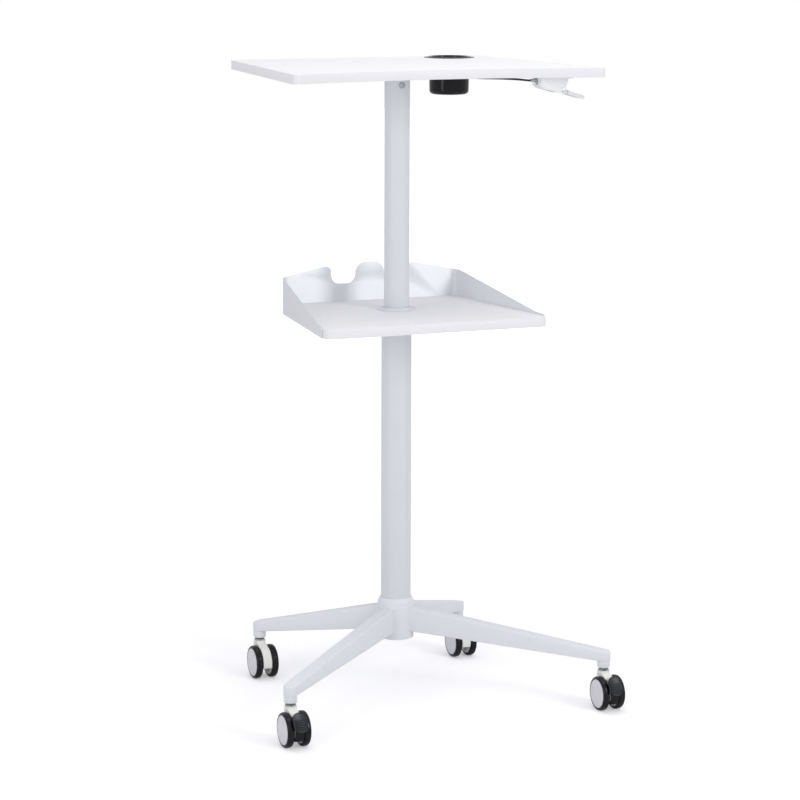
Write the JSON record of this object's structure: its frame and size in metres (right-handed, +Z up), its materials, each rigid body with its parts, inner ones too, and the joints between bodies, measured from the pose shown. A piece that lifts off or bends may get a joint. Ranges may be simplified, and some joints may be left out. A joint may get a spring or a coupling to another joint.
{
  "type": "mobile standing workstation",
  "caption": "Height-adjustable standing desk on a gas-lift column with cup holder, release lever, edged equipment shelf and a splayed base on twin-wheel casters.",
  "frame": {"origin": "on the floor, under the middle of the whole object's bounding box", "axes": "+Z up along the column, -Y towards the user, +X to the user's right, where the release lever and the cup holder are"},
  "size_m": [0.709, 0.564, 1.2625],
  "materials": {
    "white_laminate": "satin white melamine on board",
    "white_powder_coat": "fine-grain satin powder coat",
    "grey_powder_coat": "smooth satin powder coat",
    "zinc_plated_steel": "bright zinc plate",
    "black_enamel": "semi-gloss black enamel",
    "chromed_rod": "hard chrome, ground",
    "cast_aluminium": "as cast, machined faces",
    "dark_acetal": "moulded acetal",
    "white_abs": "fine spark-eroded texture",
    "grey_abs": "fine spark-eroded texture",
    "black_gloss_plastic": "polished moulding",
    "cable_sheath": "extruded PVC",
    "cream_nylon": "moulded nylon, slight gloss",
    "black_tread": "gloss polyurethane",
    "grey_disc": "moulded, slight gloss",
    "dark_pedal": "moulded nylon, slight gloss"
  },
  "bodies": {
    "base": {"base_hub": "white_powder_coat", "front_left_leg": "white_powder_coat", "front_right_leg": "white_powder_coat", "rear_left_leg": "white_powder_coat", "rear_right_leg": "white_powder_coat", "hub_plate": "zinc_plated_steel", "gas_spring_nut": "zinc_plated_steel", "outer_column": "grey_powder_coat", "upper_guide_bush": "dark_acetal", "anti_rotation_rail": "zinc_plated_steel", "gas_spring_cylinder": "black_enamel", "shelf_board": "white_laminate", "shelf_rim": "grey_powder_coat", "shelf_bracket": "white_powder_coat", "shelf_screws": "zinc_plated_steel", "column_trim_ring": "white_abs", "caster_stems": "zinc_plated_steel"},
    "lift": {"inner_column": "grey_powder_coat", "lower_guide_bush": "dark_acetal", "desk_bracket": "white_powder_coat", "desktop": "white_laminate", "desk_screws": "zinc_plated_steel", "column_screw": "zinc_plated_steel", "cup_holder": "black_gloss_plastic", "gas_spring_rod": "chromed_rod", "release_head": "cast_aluminium", "release_cable": "cable_sheath", "cable_ferrules": "zinc_plated_steel", "lever_housing": "white_abs", "lever_screws": "zinc_plated_steel", "lever_pivot_pin": "zinc_plated_steel"},
    "paddle": {"release_paddle": "grey_abs"},
    "arm": {"release_arm": "zinc_plated_steel"},
    "pin": {"release_pin": "zinc_plated_steel"},
    "front_left_caster": {"front_left_caster_body": "cream_nylon", "front_left_axle": "zinc_plated_steel"},
    "front_left_left_wheel": {"front_left_left_tyre": "black_tread", "front_left_left_hub": "grey_disc"},
    "front_left_right_wheel": {"front_left_right_tyre": "black_tread", "front_left_right_hub": "grey_disc"},
    "front_left_pedal": {"front_left_brake_pedal": "dark_pedal"},
    "front_right_caster": {"front_right_caster_body": "cream_nylon", "front_right_axle": "zinc_plated_steel"},
    "front_right_left_wheel": {"front_right_left_tyre": "black_tread", "front_right_left_hub": "grey_disc"},
    "front_right_right_wheel": {"front_right_right_tyre": "black_tread", "front_right_right_hub": "grey_disc"},
    "front_right_pedal": {"front_right_brake_pedal": "dark_pedal"},
    "rear_left_caster": {"rear_left_caster_body": "cream_nylon", "rear_left_axle": "zinc_plated_steel"},
    "rear_left_left_wheel": {"rear_left_left_tyre": "black_tread", "rear_left_left_hub": "grey_disc"},
    "rear_left_right_wheel": {"rear_left_right_tyre": "black_tread", "rear_left_right_hub": "grey_disc"},
    "rear_right_caster": {"rear_right_caster_body": "cream_nylon", "rear_right_axle": "zinc_plated_steel"},
    "rear_right_left_wheel": {"rear_right_left_tyre": "black_tread", "rear_right_left_hub": "grey_disc"},
    "rear_right_right_wheel": {"rear_right_right_tyre": "black_tread", "rear_right_right_hub": "grey_disc"}
  },
  "joints": [
    {"name": "column_lift", "type": "slide", "parent": "base", "child": "lift", "axis": [0, 0, 1], "range_m": [-0.33, 0]},
    {"name": "paddle_hinge", "type": "hinge", "parent": "lift", "child": "paddle", "pos_m": [0.25053, -0.147, 1.21593], "axis": [0, -1, 0], "range_deg": [0, 15], "stiffness_Nm_per_rad": 1, "springref_deg": -5.73},
    {"name": "arm_hinge", "type": "hinge", "parent": "lift", "child": "arm", "pos_m": [-0.009, 0.06, 1.222], "axis": [0, 1, 0], "range_deg": [0, 16.1]},
    {"name": "pin_slide", "type": "slide", "parent": "lift", "child": "pin", "axis": [0, 0, 1], "range_m": [-0.0025, 0]},
    {"name": "front_left_swivel", "type": "hinge", "parent": "base", "child": "front_left_caster", "pos_m": [-0.33, -0.217, 0.075], "axis": [0, 0, 1], "continuous": true},
    {"name": "front_left_left_wheel_spin", "type": "hinge", "parent": "front_left_caster", "child": "front_left_left_wheel", "pos_m": [-0.3467, -0.236, 0.034], "axis": [1, 0, 0], "continuous": true},
    {"name": "front_left_right_wheel_spin", "type": "hinge", "parent": "front_left_caster", "child": "front_left_right_wheel", "pos_m": [-0.3133, -0.236, 0.034], "axis": [1, 0, 0], "continuous": true},
    {"name": "front_left_pedal_press", "type": "hinge", "parent": "front_left_caster", "child": "front_left_pedal", "pos_m": [-0.33, -0.252, 0.062], "axis": [1, 0, 0], "range_deg": [0, 6]},
    {"name": "front_right_swivel", "type": "hinge", "parent": "base", "child": "front_right_caster", "pos_m": [0.33, -0.217, 0.075], "axis": [0, 0, 1], "continuous": true},
    {"name": "front_right_left_wheel_spin", "type": "hinge", "parent": "front_right_caster", "child": "front_right_left_wheel", "pos_m": [0.3133, -0.236, 0.034], "axis": [1, 0, 0], "continuous": true},
    {"name": "front_right_right_wheel_spin", "type": "hinge", "parent": "front_right_caster", "child": "front_right_right_wheel", "pos_m": [0.3467, -0.236, 0.034], "axis": [1, 0, 0], "continuous": true},
    {"name": "front_right_pedal_press", "type": "hinge", "parent": "front_right_caster", "child": "front_right_pedal", "pos_m": [0.33, -0.252, 0.062], "axis": [1, 0, 0], "range_deg": [0, 6]},
    {"name": "rear_left_swivel", "type": "hinge", "parent": "base", "child": "rear_left_caster", "pos_m": [-0.222, 0.254, 0.075], "axis": [0, 0, 1], "continuous": true},
    {"name": "rear_left_left_wheel_spin", "type": "hinge", "parent": "rear_left_caster", "child": "rear_left_left_wheel", "pos_m": [-0.2387, 0.235, 0.034], "axis": [1, 0, 0], "continuous": true},
    {"name": "rear_left_right_wheel_spin", "type": "hinge", "parent": "rear_left_caster", "child": "rear_left_right_wheel", "pos_m": [-0.2053, 0.235, 0.034], "axis": [1, 0, 0], "continuous": true},
    {"name": "rear_right_swivel", "type": "hinge", "parent": "base", "child": "rear_right_caster", "pos_m": [0.222, 0.254, 0.075], "axis": [0, 0, 1], "continuous": true},
    {"name": "rear_right_left_wheel_spin", "type": "hinge", "parent": "rear_right_caster", "child": "rear_right_left_wheel", "pos_m": [0.2053, 0.235, 0.034], "axis": [1, 0, 0], "continuous": true},
    {"name": "rear_right_right_wheel_spin", "type": "hinge", "parent": "rear_right_caster", "child": "rear_right_right_wheel", "pos_m": [0.2387, 0.235, 0.034], "axis": [1, 0, 0], "continuous": true}
  ],
  "couplings": [
    {"joint": "arm_hinge", "follows": "paddle_hinge", "ratio": 1.0667},
    {"joint": "pin_slide", "follows": "paddle_hinge", "m_per_rad": -0.0095}
  ]
}
